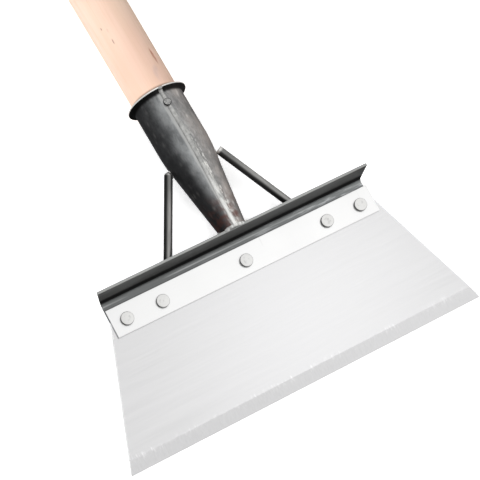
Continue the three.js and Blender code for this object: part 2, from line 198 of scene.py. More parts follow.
class Finish(Nodes):
    """A material whose pattern lies in a place of its own, such as the head's frame."""

    def __init__(self, name, place, **constants):
        self.material = bpy.data.materials.new(name)
        self.material.use_nodes = True
        super().__init__(self.material.node_tree)
        self.shader = self.tree.nodes["Principled BSDF"]
        for socket, value in constants.items():
            self.shader.inputs[socket.replace("_", " ")].default_value = value
        turned = {
            "Vector": self.node("ShaderNodeTexCoord", output="Object"),
            "Location": place.to_translation(),
            "Rotation": place.to_euler(),
        }
        self.point = self.node("ShaderNodeMapping", {"vector_type": "TEXTURE"}, turned)
        split = self.node("ShaderNodeSeparateXYZ", None, {"Vector": self.point})
        self.x, self.y, self.z = (split.output(axis) for axis in "XYZ")
        self.colour = None

    def stretched(self, *scales):
        factors = {"Vector": self.point, "Vector_001": scales}
        return self.node("ShaderNodeVectorMath", {"operation": "MULTIPLY"}, factors)

    def cloud(self, scale, detail=2.0, roughness=0.5, along=(1, 1, 1)):
        """Soft noise from 0 to 1, with so many features to a metre, drawn out along an axis."""
        grain = {"Scale": 1.0, "Detail": detail, "Roughness": roughness}
        grain["Vector"] = self.stretched(*(scale / length for length in along))
        return self.node("ShaderNodeTexNoise", None, grain, "Fac")

    def flecks(self, scale, width, along=(1, 1, 1)):
        """1 on small spots scattered at random, and 0 between them."""
        cells = {"Scale": 1.0, "Vector": self.stretched(*(scale / length for length in along))}
        return 1 - self.node("ShaderNodeTexVoronoi", None, cells, "Distance").between(0, width)

    def paint(self, share, colour):
        """Lays a colour over the finish's own, as far as the share goes from 0 to 1."""
        self.colour = self.mixed(share, self.colour, colour)

    def shaded(self, colour, factor):
        """The colour times a number."""
        settings = {"operation": "SCALE"}
        return self.node("ShaderNodeVectorMath", settings, {"Vector": colour, "Scale": factor})

    def set(self, **inputs):
        for name, value in inputs.items():
            self.feed(self.shader.inputs[name.replace("_", " ")], value)

    def relief(self, height):
        """Raises the surface by a height in millimetres."""
        inputs = {"Height": height, "Distance": 0.001}
        self.set(Normal=self.node("ShaderNodeBump", None, inputs))


scene.view_settings.view_transform = "Standard"

world = bpy.data.worlds.new("studio_room")
world.use_nodes = True
room = Nodes(world.node_tree)
towards = room.node("ShaderNodeTexCoord", output="Generated")
white_side = Vector(ROOM_WHITE_SIDE).normalized()
sides = {"Vector": towards, "Vector_001": white_side}
facing = room.node("ShaderNodeVectorMath", {"operation": "DOT_PRODUCT"}, sides, "Value")
height = room.node("ShaderNodeSeparateXYZ", None, {"Vector": towards}).output("Z")
whiteness = facing.between(ROOM_DIM_FROM, ROOM_WHITE_FROM) * height.between(*ROOM_FLOOR_LINE)
room_colour = room.mixed(whiteness, ROOM_DARK, ROOM_WHITE)
room.feed(world.node_tree.nodes["Background"].inputs["Color"], room_colour)
scene.world = world
world.cycles_visibility.diffuse = False

for light_name, (strength, disc, direction) in SOFT_LIGHTS.items():
    lamp = bpy.data.lights.new(light_name, "SUN")
    lamp.energy = strength
    lamp.angle = math.radians(disc)
    light = bpy.data.objects.new(light_name, lamp)
    aim = head_place.to_3x3() @ Vector(direction)
    light.rotation_euler = aim.to_track_quat("Z", "Y").to_euler()
    light.visible_glossy = False
    scene.collection.objects.link(light)

softbox_lamp = bpy.data.lights.new("softbox", "AREA")
softbox_lamp.shape = "DISK"
softbox_lamp.size = SOFTBOX_ROUND
softbox_lamp.energy = SOFTBOX_POWER
softbox = bpy.data.objects.new("softbox", softbox_lamp)
softbox.location = head_place @ SOFTBOX_STAND
softbox.rotation_euler = SOFTBOX_STAND.to_track_quat("Z", "Y").to_euler()
scene.collection.objects.link(softbox)

floor_form = bmesh.new()
bmesh.ops.create_grid(floor_form, x_segments=1, y_segments=1, size=FLOOR_SIZE / 2)
floor_mesh = bpy.data.meshes.new("floor")
floor_form.to_mesh(floor_mesh)
floor_mesh.transform(Matrix.Translation((0, 0, cad_box[0].z)))
floor = bpy.data.objects.new("floor", floor_mesh)
scene.collection.objects.link(floor)
floor.visible_glossy = False
glow = {"Emission_Color": (1, 1, 1, 1), "Emission_Strength": FLOOR_GLOW}
paper = Finish("white_paper", Matrix.Identity(4), Roughness=0.9, **glow)
paper.set(Base_Color=paper.mixed(paper.cloud(3, 2), *PAPER_TONES))
floor_mesh.materials.append(paper.material)


# ---------------------------------------------------------------------------------------------
# Handle: a turned round of pale, close-grained hardwood, 1.2 m long. Its end is turned down to
# sit in the socket, and it swells a little from the neck up. The butt is rounded for the hand.
WOOD_RADIUS = 0.020
WOOD_NECK = 0.01885
WOOD_IN_SOCKET = 0.0185
WOOD_TIP = (0.038, 0.012)  # rise of its end above the socket's foot, and the radius there
WOOD_TIP_CHAMFER = 0.003
SOCKET_TOP = 0.117  # rise of the socket's mouth
WOOD_BUTT = 1.238
BUTT_ROUND = 0.007
NECK_RISE = 0.120
TAPER_END = 0.330
CONE_END = 0.078  # above this the socket's bore is a cylinder
WOOD_TONES = ((0.875, 0.635, 0.485), (0.965, 0.72, 0.595))


def arc(centre, radius, start, end, steps):
    """Points of an arc in a plane, with its angles in degrees."""
    angles = [math.radians(start + (end - start) * i / steps) for i in range(steps + 1)]
    return [(centre[0] + radius * math.cos(a), centre[1] + radius * math.sin(a)) for a in angles]


def spread(low, high, count):
    return [low + (high - low) * i / count for i in range(count + 1)]


def turned_form(outline, sides):
    """A solid turned about z. The outline is its radius and rise, from one end to the other."""
    form = bmesh.new()
    rings = []
    for radius, rise in outline:
        turns = [2 * math.pi * i / sides for i in range(sides)] if radius else [0]
        ring = [(radius * math.cos(t), radius * math.sin(t), rise) for t in turns]
        rings.append([form.verts.new(corner) for corner in ring])
    for low, high in zip(rings, rings[1:]):
        for i in range(sides):
            j = (i + 1) % sides
            around = [low[i % len(low)], low[j % len(low)]]
            around += [high[j % len(high)], high[i % len(high)]]
            form.faces.new(list(dict.fromkeys(around)))
    return form


def piece_from(form, name, place, finish, sharp=32):
    """Turns a form into a piece with its place in its mesh, smooth but for its sharp edges."""
    bmesh.ops.recalc_face_normals(form, faces=form.faces)
    mesh = bpy.data.meshes.new(name)
    form.to_mesh(mesh)
    form.free()
    mesh.transform(place)
    mesh.polygons.foreach_set("use_smooth", [True] * len(mesh.polygons))
    mesh.set_sharp_from_angle(angle=math.radians(sharp))
    mesh.materials.append(finish.material)
    piece = bpy.data.objects.new(name, mesh)
    scene.collection.objects.link(piece)
    return piece


def fixed(piece, slot, *nodes):
    """Hides the parts of the frame that a piece stands for. The whole tool is one body."""
    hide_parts(*nodes)
    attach(piece, "root")


def wood_radius(rise):
    swell = (rise - NECK_RISE) / (TAPER_END - NECK_RISE)
    return WOOD_NECK + (WOOD_RADIUS - WOOD_NECK) * max(0, min(1, swell))


handle_outline = [(0, WOOD_TIP[0]), (WOOD_TIP[1], WOOD_TIP[0])]
handle_outline.append((WOOD_TIP[1] + WOOD_TIP_CHAMFER * 0.8, WOOD_TIP[0] + WOOD_TIP_CHAMFER))
handle_outline += [(WOOD_IN_SOCKET, CONE_END), (WOOD_IN_SOCKET, SOCKET_TOP)]
wood_rises = spread(NECK_RISE, WOOD_BUTT - BUTT_ROUND, 90)
handle_outline += [(wood_radius(rise), rise) for rise in wood_rises]
butt_centre = (WOOD_RADIUS - BUTT_ROUND, WOOD_BUTT - BUTT_ROUND)
handle_outline += arc(butt_centre, BUTT_ROUND, 9, 90, 9) + [(0, WOOD_BUTT)]

wood = Finish("pale_turned_wood", socket_place, Roughness=0.55, Specular_IOR_Level=0.35)
wood_broad = wood.cloud(90, 3, 0.55, (1, 26, 1))
wood_grain = wood.cloud(900, 3, 0.6, (1, 60, 1))
wood_blush = wood.cloud(28, 2, 0.5, (1, 3, 1))
wood.colour = wood.mixed(wood_broad.between(0.3, 0.72), *WOOD_TONES)
wood.paint(wood_blush.between(0.45, 0.7) * 0.5, (0.90, 0.58, 0.46))
wood.paint(wood_grain.between(0.50, 0.68) * 0.5, (0.80, 0.55, 0.36))
pores = wood.flecks(420, 0.11, (1, 9, 1)) * wood.cloud(60, 1).between(0.55, 0.7)
wood.paint(pores * 0.45, (0.55, 0.34, 0.24))


def wood_mark(around, rise, width, length, lean=0.0):
    """1 on a mark on the handle: degrees round from its front, its rise, its width and length."""
    turn = math.radians(around)
    out = wood.x * math.cos(turn) - wood.z * math.sin(turn)
    front = (wood.x * math.sin(turn) + wood.z * math.cos(turn)).between(0, 0.004)
    along = wood.y - rise
    across = (out - along * lean) / width
    return (1 - (across * across + (along / length) ** 2).between(0.1, 1.0)) * front


# A rusty streak, a stain and a few specks in front, and painted shade where the wood meets the rim.
edge_noise = wood.cloud(700, 3, 0.6, (1, 5, 1))
streak = wood_mark(34, 0.1446, 0.0014, 0.0085, -0.05) * edge_noise.between(0.25, 0.55)
stain = wood_mark(22, 0.1285, 0.0055, 0.010) * wood.cloud(130, 1, 0.5, (1, 3, 1)).between(0.25, 0.7)
specks = wood_mark(-35, 0.1682, 0.0007, 0.0030) * edge_noise.between(0.3, 0.6)
specks = specks + wood_mark(-33, 0.178, 0.0006, 0.0020) * edge_noise.between(0.35, 0.6)
specks = specks + wood_mark(-45, 0.182, 0.0006, 0.0016)
# Painted shade: the wood is darkened up to a few millimetres above the socket's mouth.
wood.paint((1 - wood.y.between(0.1188, 0.1210)) * 0.8, (0.16, 0.10, 0.07))
wood.paint(stain * 0.4, (0.52, 0.40, 0.42))
wood.paint(streak * 0.9, (0.50, 0.16, 0.08))
wood.paint(specks * 0.7, (0.40, 0.20, 0.16))
wood.set(Base_Color=wood.colour, Roughness=0.5 + wood_grain * 0.14)
wood.relief(wood_grain * 0.05 - pores * 0.06 - streak * 0.25)

along_socket = socket_place @ Matrix.Rotation(-math.pi / 2, 4, "X")  # its z runs up the handle
handle = piece_from(turned_form(handle_outline, 96), "handle", along_socket, wood)
fixed(handle, "handle_wood", "handle")


# ---------------------------------------------------------------------------------------------
# Socket: 1.3 mm sheet steel rolled into a cone that runs into a cylinder, its two edges left
# 3.4 mm apart in front for the seam weld. The mouth is flared out into a flat rim, and the foot
# is cut to stand on the angle bar's flange. It still has its dark rolling and welding scale.
SHEET = 0.0013
FOOT_RADIUS = 0.0108
MOUTH_RADIUS = 0.0201
CONE_LENGTH = 0.069
CONE_BLEND = 0.009
BELOW_FOOT = -0.012
RIM_FILLET = 0.0026
RIM_RADIUS = 0.0243
RIM_EDGE_ROUND = 0.00035
SEAM_GAP = 0.0034
SOCKET_SIDES = 128
DENT = 0.00022
FLANGE_ANGLE = math.radians(78)
FLANGE_FOOT = Vector((0, 0.1208, -0.0003))  # inner corner of the fold
BAR_SHEET = 0.002
SEAT_GAP = 0.0003
CONE_SLOPE = (MOUTH_RADIUS - FOOT_RADIUS) / CONE_LENGTH

flange_up = Vector((0, math.cos(FLANGE_ANGLE), math.sin(FLANGE_ANGLE)))
flange_out = Vector((0, math.sin(FLANGE_ANGLE), -math.cos(FLANGE_ANGLE)))


def socket_radius(rise):
    left = CONE_LENGTH + CONE_BLEND - rise
    if left <= 0:
        return MOUTH_RADIUS
    if left >= 2 * CONE_BLEND:
        return FOOT_RADIUS + CONE_SLOPE * rise
    return MOUTH_RADIUS - CONE_SLOPE * left * left / (4 * CONE_BLEND)


def skin_shift(turn, rise):
    """How far the rolled sheet lies inside its true shape: the flats left by the rolling."""
    spot = Vector((math.sin(turn) * 1.6, math.cos(turn) * 1.6, rise * 55))
    return -DENT * (0.5 + 0.5 * noise.noise(spot))


def flange_face(place):
    """In a piece's own place: a point just off the flange's outer face, and the face's normal."""
    back = place.inverted() @ head_place
    on_face = back @ (FLANGE_FOOT + flange_out * (BAR_SHEET + SEAT_GAP))
    return on_face, back.to_3x3() @ flange_out


def cut_at_flange(form, place):
    """Cuts a form off along the outer face of the angle bar's flange and closes the cut."""
    on_face, outward = flange_face(place)
    everything = form.verts[:] + form.edges[:] + form.faces[:]
    cut = bmesh.ops.bisect_plane(
        form, geom=everything, plane_co=on_face, plane_no=outward, clear_inner=True, dist=1e-7
    )
    rim = [part for part in cut["geom_cut"] if isinstance(part, bmesh.types.BMEdge)]
    bmesh.ops.triangle_fill(form, edges=rim, use_beauty=True)


fillet_centre = (MOUTH_RADIUS + RIM_FILLET, SOCKET_TOP - SHEET - RIM_FILLET)
wall_rises = spread(BELOW_FOOT, fillet_centre[1], 44)
outer_skin = [(socket_radius(rise), rise) for rise in wall_rises]
inner_skin = [(radius - SHEET, rise) for radius, rise in outer_skin]
outer_skin += arc(fillet_centre, RIM_FILLET, 180, 90, 8)[1:]
inner_skin += arc(fillet_centre, RIM_FILLET + SHEET, 180, 90, 8)[1:]
rim_round = RIM_RADIUS - RIM_EDGE_ROUND
rim_edge = arc((rim_round, SOCKET_TOP - SHEET + RIM_EDGE_ROUND), RIM_EDGE_ROUND, -90, 0, 3)
rim_edge += arc((rim_round, SOCKET_TOP - RIM_EDGE_ROUND), RIM_EDGE_ROUND, 0, 90, 3)
sheet_loop = outer_skin + rim_edge + inner_skin[::-1]

socket_form = bmesh.new()
stations = []
for radius, rise in sheet_loop:
    gap_turn = math.asin(SEAM_GAP / 2 / radius)
    station = []
    for turn in spread(gap_turn, 2 * math.pi - gap_turn, SOCKET_SIDES):
        shift = skin_shift(turn, rise) * min(1, 8 * (SOCKET_TOP - rise) / SOCKET_TOP)
        true = radius + (shift if radius < RIM_RADIUS - 0.001 else 0)
        station.append(socket_form.verts.new((true * math.sin(turn), rise, true * math.cos(turn))))
    stations.append(station)
for here, there in zip(stations, stations[1:] + stations[:1]):
    for i in range(SOCKET_SIDES):
        socket_form.faces.new((here[i], here[i + 1], there[i + 1], there[i]))
for end in (0, SOCKET_SIDES):
    pairs = len(outer_skin)
    for i in range(pairs - 1):
        around = (stations[i], stations[i + 1], stations[-2 - i], stations[-1 - i])
        socket_form.faces.new([station[end] for station in around])
    socket_form.faces.new([station[end] for station in stations[pairs - 1 : -pairs + 1]])
cut_at_flange(socket_form, socket_place)

forged = Finish("forged_dark_steel", socket_place, Metallic=0.95, Specular_IOR_Level=0.4)
blotch = forged.cloud(95, 4, 0.6, (1, 1.8, 1))
fine_scale = forged.cloud(900, 3, 0.65, (1, 2.5, 1))
sideways = forged.x / forged.sum("MINIMUM", FOOT_RADIUS + forged.y * CONE_SLOPE, MOUTH_RADIUS)
right_side_light = sideways.between(-0.1, 0.8)
forged.colour = forged.mixed(blotch.between(0.25, 0.75), (0.16, 0.167, 0.172), (0.36, 0.37, 0.376))
upper = forged.y.between(0.03, 0.075)
# Painted shade: the socket's left side is painted near-black, reaching less far round higher up.
left_side_shade = 1 - (sideways + upper * 0.36 + (blotch - 0.5) * 0.35).between(-0.72, 0.02)
forged.paint(left_side_shade * 0.82, (0.028, 0.028, 0.029))
forged.paint(fine_scale.between(0.42, 0.66) * 0.4, (0.10, 0.10, 0.10))
# Painted light: the socket's right side is painted a paler warm grey.
forged.paint(right_side_light * (0.25 + blotch.between(0.3, 0.7) * 0.65), (0.50, 0.445, 0.41))

# The seam: a pale band beside the weld with a dark line along it, and spatter to its right.
in_front = forged.z.between(0, 0.002)
wavering = forged.cloud(300, 2, 0.5, (1, 5, 1)) * 0.001 - 0.0005
beside_seam = (forged.x + forged.y.between(0.02, 0.10) * 0.0012 + wavering).size()
seam_band = (1 - beside_seam.between(0.0024, 0.0036)) * in_front
forged.paint(seam_band * (0.45 + fine_scale * 0.45), (0.60, 0.60, 0.585))
seam_line = (1 - (beside_seam - 0.0029).size().between(0.0002, 0.0005)) * in_front
seam_line = seam_line * forged.cloud(220, 2, 0.5, (1, 4, 1)).between(0.42, 0.6)
forged.paint(seam_line * (1 - forged.y.between(0.05, 0.085)) * 0.6, (0.06, 0.06, 0.06))
drops = forged.cloud(520, 3, 0.6, (1, 3.5, 1)).between(0.49, 0.60)
spatter = (1 - (forged.x - 0.0025).size().between(0.0010, 0.0032)) * in_front
spatter = spatter * drops * (1 - forged.y.between(0.045, 0.10))
forged.paint(spatter * 0.85, (0.80, 0.79, 0.76))

# Wear: bluish on the left front, pale rubbed flecks mostly on the right side with its painted
# light, brown at the foot. Painted highlight on the rim's edge, painted shade under the rim.
bluish = sideways.between(-0.75, -0.35) * (1 - sideways.between(-0.22, -0.05))
bluish = bluish * forged.y.between(0.005, 0.06) * (0.35 + blotch.between(0.36, 0.62) * 0.65)
forged.paint(bluish * 0.5, (0.55, 0.57, 0.575))
rubbed = forged.flecks(240, 0.42, (1, 2.2, 1)) * forged.cloud(80, 2).between(0.44, 0.56)
rubbed = rubbed * (0.3 + right_side_light * 0.7)
forged.paint(rubbed * 0.6, (0.74, 0.71, 0.68))
near_foot = 1 - forged.y.between(0.004, 0.034)
tint = forged.cloud(160, 3).between(0.35, 0.65)
forged.paint(near_foot * tint * 0.85, (0.15, 0.07, 0.058))
# Painted highlight: a bright line along the rim's edge, which is also made less metallic.
rim_highlight = forged.y.between(SOCKET_TOP - 0.00125, SOCKET_TOP - 0.0010)
forged.paint(rim_highlight * 0.85, (0.86, 0.85, 0.82))
# Painted shade: the underside of the rim is painted near-black.
under_rim_shade = forged.y.between(SOCKET_TOP - 0.0050, SOCKET_TOP - 0.0026) * (1 - rim_highlight)
forged.paint(under_rim_shade * 0.93, (0.008, 0.008, 0.008))
forged_dull = 0.34 + blotch * 0.2 + fine_scale * 0.1 + under_rim_shade * 0.3
forged.set(Base_Color=forged.colour, Roughness=forged_dull, Metallic=0.95 - rim_highlight * 0.6)
forged.relief(blotch * 0.12 + fine_scale * 0.035)

socket = piece_from(socket_form, "socket", socket_place, forged)
fixed(socket, "black_steel", "socket")


# ---------------------------------------------------------------------------------------------
# Welds: steel laid down by hand along a path, with a ripple for each dip of the rod. The seam
# weld fills the socket's front, and is parted by the rivet; the rest join socket and braces.
SEAM_WIDTH = 0.0037
SEAM_THICKNESS = 0.0018
SEAM_STEP = 0.0015
SEAM_BEFORE_RIM = 0.0009
CROSS_RIVET_RISE = 0.1045
RIVET_CLEAR = 0.0026
BEAD_SIDES = 20
STEPS_PER_RIPPLE = 5
LUMPS_PER_METRE = 420.0


def node_group(name, inputs, output):
    """An empty node tree with these inputs, each with its kind and default, and one output."""
    tree = bpy.data.node_groups.new(name, "GeometryNodeTree")
    tree.is_modifier = True
    for label, (kind, default) in inputs.items():
        socket = tree.interface.new_socket(label, in_out="INPUT", socket_type=f"NodeSocket{kind}")
        if default is not None:
            socket.default_value = default
    tree.interface.new_socket(output, in_out="OUTPUT", socket_type="NodeSocketGeometry")
    return tree


def weld_tree():
    """A bead along a curve: its width, height, ripples and unevenness are the tree's inputs."""
    inputs = {
        "Path": ("Geometry", None),
        "Width": ("Float", 0.004),
        "Height": ("Float", 0.004),
        "Ripple pitch": ("Float", 0.0014),
        "Ripple depth": ("Float", 0.0002),
        "Unevenness": ("Float", 0.0002),
        "Seed": ("Float", 1),
        "Metal": ("Material", None),
    }
    tree = node_group("weld_bead", inputs, "Bead")
    bead = Nodes(tree)
    given = bead.node("NodeGroupInput")
    pitch, seed = given.output("Ripple pitch"), given.output("Seed")
    steps = {"Curve": given.output("Path"), "Length": pitch / STEPS_PER_RIPPLE}
    path = bead.node("GeometryNodeResampleCurve", {"mode": "LENGTH"}, steps)
    path = bead.node("GeometryNodeSetCurveNormal", {"mode": "Z_UP"}, {"Curve": path})
    along = bead.node("GeometryNodeSplineParameter", output="Length")
    kept = tree.nodes.new("GeometryNodeCaptureAttribute")
    kept.capture_items.new("FLOAT", "Along")
    bead.feed(kept.inputs["Geometry"], path)
    bead.feed(kept.inputs["Along"], along)
    sides = {"Resolution": BEAD_SIDES, "Radius": 0.5}
    circle = bead.node("GeometryNodeCurvePrimitiveCircle", {"mode": "RADIUS"}, sides)
    lengths = {"X": given.output("Width"), "Y": given.output("Height"), "Z": 1.0}
    size = bead.node("ShaderNodeCombineXYZ", None, lengths)
    section = bead.node("GeometryNodeTransform", None, {"Geometry": circle, "Scale": size})
    sweep = {"Curve": Value(bead, kept.outputs["Geometry"]), "Profile Curve": section}
    swept = bead.node("GeometryNodeCurveToMesh", None, {**sweep, "Fill Caps": True})
    phase = Value(bead, kept.outputs["Along"]) / pitch * (2 * math.pi)
    ripple = bead.sum("SINE", phase).size() - 0.5
    here = bead.node("GeometryNodeInputPosition")
    lumps = {"Vector": here, "W": seed, "Scale": LUMPS_PER_METRE, "Detail": 2.0}
    rough = bead.node("ShaderNodeTexNoise", {"noise_dimensions": "4D"}, lumps, "Fac")
    lift = ripple * given.output("Ripple depth") + (rough - 0.5) * given.output("Unevenness")
    out = bead.node("GeometryNodeInputNormal")
    lifted = {"Vector": out, "Scale": lift}
    offset = bead.node("ShaderNodeVectorMath", {"operation": "SCALE"}, lifted)
    shaped = bead.node("GeometryNodeSetPosition", None, {"Geometry": swept, "Offset": offset})
    shaped = bead.node("GeometryNodeSetShadeSmooth", None, {"Geometry": shaped})
    whole = bead.node("GeometryNodeRealizeInstances", None, {"Geometry": shaped})
    coated = {"Geometry": whole, "Material": given.output("Metal")}
    finished = bead.node("GeometryNodeSetMaterial", None, coated)
    bead.feed(tree.nodes.new("NodeGroupOutput").inputs["Bead"], finished)
    return tree


def made_by(tree, source, name, **inputs):
    """The plain mesh piece that a node tree makes of a source object, which is then removed."""
    modifier = source.modifiers.new(tree.name, "NODES")
    modifier.node_group = tree
    for item in tree.interface.items_tree:
        key = item.name.replace(" ", "_").lower()
        if item.in_out == "INPUT" and key in inputs:
            modifier[item.identifier] = inputs[key]
    bpy.context.view_layer.update()
    evaluated = source.evaluated_get(bpy.context.evaluated_depsgraph_get())
    mesh = bpy.data.meshes.new_from_object(evaluated)
    mesh.name = name
    source.modifiers.remove(modifier)
    bpy.data.objects.remove(source)
    piece = bpy.data.objects.new(name, mesh)
    scene.collection.objects.link(piece)
    return piece


def path_object(points, closed=False):
    curve = bpy.data.curves.new("path", "CURVE")
    curve.dimensions = "3D"
    spline = curve.splines.new("POLY")
    spline.points.add(len(points) - 1)
    for slot, point in zip(spline.points, points):
        slot.co = (*point, 1)
    spline.use_cyclic_u = closed
    source = bpy.data.objects.new("path", curve)
    scene.collection.objects.link(source)
    return source


bead_tree = weld_tree()


def laid_weld(name, points, finish, closed=False, **sizes):
    """One weld bead along points in the row frame, standing for the node of the same name."""
    bead = made_by(bead_tree, path_object(points, closed), name, metal=finish.material, **sizes)
    fixed(bead, "weld_steel", name)


weld = Finish("weld_steel", socket_place, Metallic=0.9)
weld_patch = weld.cloud(240, 3, 0.6)
weld_fine = weld.cloud(1500, 3, 0.6)
weld.colour = weld.mixed(weld_patch.between(0.35, 0.65), (0.34, 0.34, 0.335), (0.56, 0.56, 0.545))
seam_foot = 1 - weld.y.between(0.012, 0.062)
# Painted highlight: bright patches along the lower part of the seam weld.
seam_highlight = seam_foot * weld.cloud(300, 2, 0.5, (1, 6, 1)).between(0.42, 0.6)
weld.paint(seam_highlight * 0.85, (0.92, 0.92, 0.90))
weld.set(Base_Color=weld.colour, Roughness=0.34 + weld_patch * 0.2)
weld.relief(weld_fine * 0.06 + weld_patch * 0.08)


def seam_path(low, high):
    """Along the middle of the rolled sheet at the front of the socket."""
    rises = spread(low, high, max(2, round((high - low) / SEAM_STEP)))
    return [Vector((0, rise, socket_radius(rise) - SHEET / 2)) for rise in rises]


def foot_rise():
    """Rise at which the front of the socket meets the flange's outer plane."""
    on_face, outward = flange_face(socket_place)
    low, high = BELOW_FOOT, CONE_LENGTH
    for _ in range(40):
        middle = (low + high) / 2
        front = Vector((0, middle, socket_radius(middle) - SHEET / 2))
        low, high = (middle, high) if (front - on_face).dot(outward) < 0 else (low, middle)
    return low


seam_low = seam_path(foot_rise(), CROSS_RIVET_RISE - RIVET_CLEAR)
seam_high = seam_path(CROSS_RIVET_RISE + RIVET_CLEAR, fillet_centre[1])
flare = arc(fillet_centre, RIM_FILLET + SHEET / 2, 180, 90, 8)[1:]
seam_high += [Vector((0, rise, radius)) for radius, rise in flare]
seam_high.append(Vector((0, SOCKET_TOP - SHEET / 2, RIM_RADIUS - SEAM_BEFORE_RIM)))
seam_sizes = {"width": SEAM_WIDTH, "height": SEAM_THICKNESS, "ripple_pitch": 0.0016}
seam_sizes.update(ripple_depth=0.00010, unevenness=0.00018)
laid_weld("seam_weld_lower", [socket_place @ p for p in seam_low], weld, seed=3.0, **seam_sizes)
laid_weld("seam_weld_upper", [socket_place @ p for p in seam_high], weld, seed=7.0, **seam_sizes)


# ---------------------------------------------------------------------------------------------
# Welds round the socket's foot: one bead lies on the flange's top edge in front, the other runs
# round the rest of the socket in the corner with the flange's outer face.
FRONT_BEAD = 0.0028
RING_BEAD = 0.0036
FRONT_REACH = 46  # degrees to either side
BACK_REACH = 104
FRONT_SET_BACK = 0.0008  # from the middle of the flange's top edge towards its outer face
RING_PROUD = 0.0008
RING_LIFT = 0.0010


def ring_path(radius, out, middle, reach, count):
    """An arc about the socket's axis in a plane along the flange's outer face."""
    rise = (SOCKET_FOOT.z - FLANGE_FOOT.z) / math.sin(FLANGE_ANGLE)
    centre = FLANGE_FOOT + flange_up * rise + flange_out * (BAR_SHEET + out)
    turns = [math.radians(middle + turn) for turn in spread(-reach, reach, count)]
    ways = [Vector((math.cos(turn), 0, 0)) + flange_up * math.sin(turn) for turn in turns]
    return [head_place @ (centre + radius * way) for way in ways]


front_out = FRONT_SET_BACK - BAR_SHEET / 2
front_ring = ring_path(FOOT_RADIUS - SHEET / 2, front_out, 90, FRONT_REACH, 30)
back_ring = ring_path(FOOT_RADIUS + RING_PROUD, RING_LIFT, -90, BACK_REACH, 60)
ring_sizes = {"ripple_pitch": 0.0017, "ripple_depth": 0.00035, "unevenness": 0.0007}
for name, ring, bead_size, seed in (
    ("socket_weld_front", front_ring, FRONT_BEAD, 11.0),
    ("socket_weld_back", back_ring, RING_BEAD, 13.0),
):
    laid_weld(name, ring, weld, width=bead_size, height=bead_size, seed=seed, **ring_sizes)


# ---------------------------------------------------------------------------------------------
# Socket rivet: a low-headed steel rivet through socket and wood, which pins the handle. It was
# set after the seam was welded, so its head sits on the weld.
CROSS_SHANK = 0.002
CROSS_HEAD = 0.0031
CROSS_SEAT = MOUTH_RADIUS + 0.00045
CROSS_HEIGHT = 0.0013
CROSS_LIP = 0.0002
CROSS_SOFTEN = 0.0006
CROSS_CROWN = 0.00005

cross_top = CROSS_SEAT + CROSS_HEIGHT
cross_half = [(CROSS_SHANK, CROSS_SEAT), (CROSS_HEAD - CROSS_LIP, CROSS_SEAT)]
cross_half.append((CROSS_HEAD, CROSS_SEAT + CROSS_LIP))
cross_half += arc((CROSS_HEAD - CROSS_SOFTEN, cross_top - CROSS_SOFTEN), CROSS_SOFTEN, 0, 90, 5)
cross_half += [(CROSS_HEAD * 0.45, cross_top + CROSS_CROWN * 0.8), (0, cross_top + CROSS_CROWN)]
cross_outline = [(radius, -rise) for radius, rise in cross_half[::-1]] + cross_half
cross_place = socket_place @ Matrix.Translation((0, CROSS_RIVET_RISE, 0))

grey_rivet = Finish("dull_rivet_steel", cross_place, Metallic=0.75)
rivet_mottle = grey_rivet.cloud(900, 3, 0.6)
rivet_off_axis = grey_rivet.x * grey_rivet.x + grey_rivet.y * grey_rivet.y
rivet_edge_shade = rivet_off_axis.between((CROSS_HEAD * 0.76) ** 2, (CROSS_HEAD * 0.90) ** 2)
grey_rivet.colour = grey_rivet.mixed(
    rivet_mottle.between(0.38, 0.6), (0.20, 0.20, 0.20), (0.44, 0.44, 0.43)
)
# Painted shade: the outer ring of the rivet's head is painted near-black.
grey_rivet.paint(rivet_edge_shade * 0.9, (0.02, 0.02, 0.02))
grey_rivet.set(Base_Color=grey_rivet.colour, Roughness=0.38 + rivet_mottle * 0.15)
grey_rivet.relief(rivet_mottle * 0.12)
socket_rivet = piece_from(turned_form(cross_outline, 48), "socket_rivet", cross_place, grey_rivet)
fixed(socket_rivet, "rivet_steel", "socket_rivet")


# ---------------------------------------------------------------------------------------------
# Angle bar: 2 mm hot-rolled sheet folded to 78 degrees. Its leg lies behind the blade and its
# flange stands up in front, where it carries the socket and both braces. Sheared top edge.
LEG_LENGTH = 0.223
FLANGE_FLARE = 0.003  # the flange's top corners lie this far out past the leg's ends
LEG_FRONT = -0.0003
LEG_LOW = 0.0924
FLANGE_WIDTH = 0.0205
FOLD_RADIUS = 0.003
BAR_SOFTEN = 0.00028
FOLD_BEGIN = (0.1195, 0.1215)  # where the leg's light fades out into the fold
FOLD_HIGHLIGHT_LINE = 0.1180
STRIP_TOP = 0.1144  # the clamp strip's upper edge


def extruded_form(outline, length, count):
    """A bar along x with the outline, in y and z, as its section."""
    form = bmesh.new()
    places = spread(-length / 2, length / 2, count)
    sections = [[form.verts.new((x, y, z)) for y, z in outline] for x in places]
    for here, there in zip(sections, sections[1:]):
        for i in range(len(outline)):
            j = (i + 1) % len(outline)
            form.faces.new((here[i], here[j], there[j], there[i]))
    form.faces.new(sections[0])
    form.faces.new(sections[-1][::-1])
    return form


def softened(piece, width, angle=40):
    """Rounds a piece's sharp edges a little, as shearing and handling leave them."""
    bevel = piece.modifiers.new("soft_edges", "BEVEL")
    bevel.width = width
    bevel.segments = 2
    bevel.limit_method = "ANGLE"
    bevel.angle_limit = math.radians(angle)


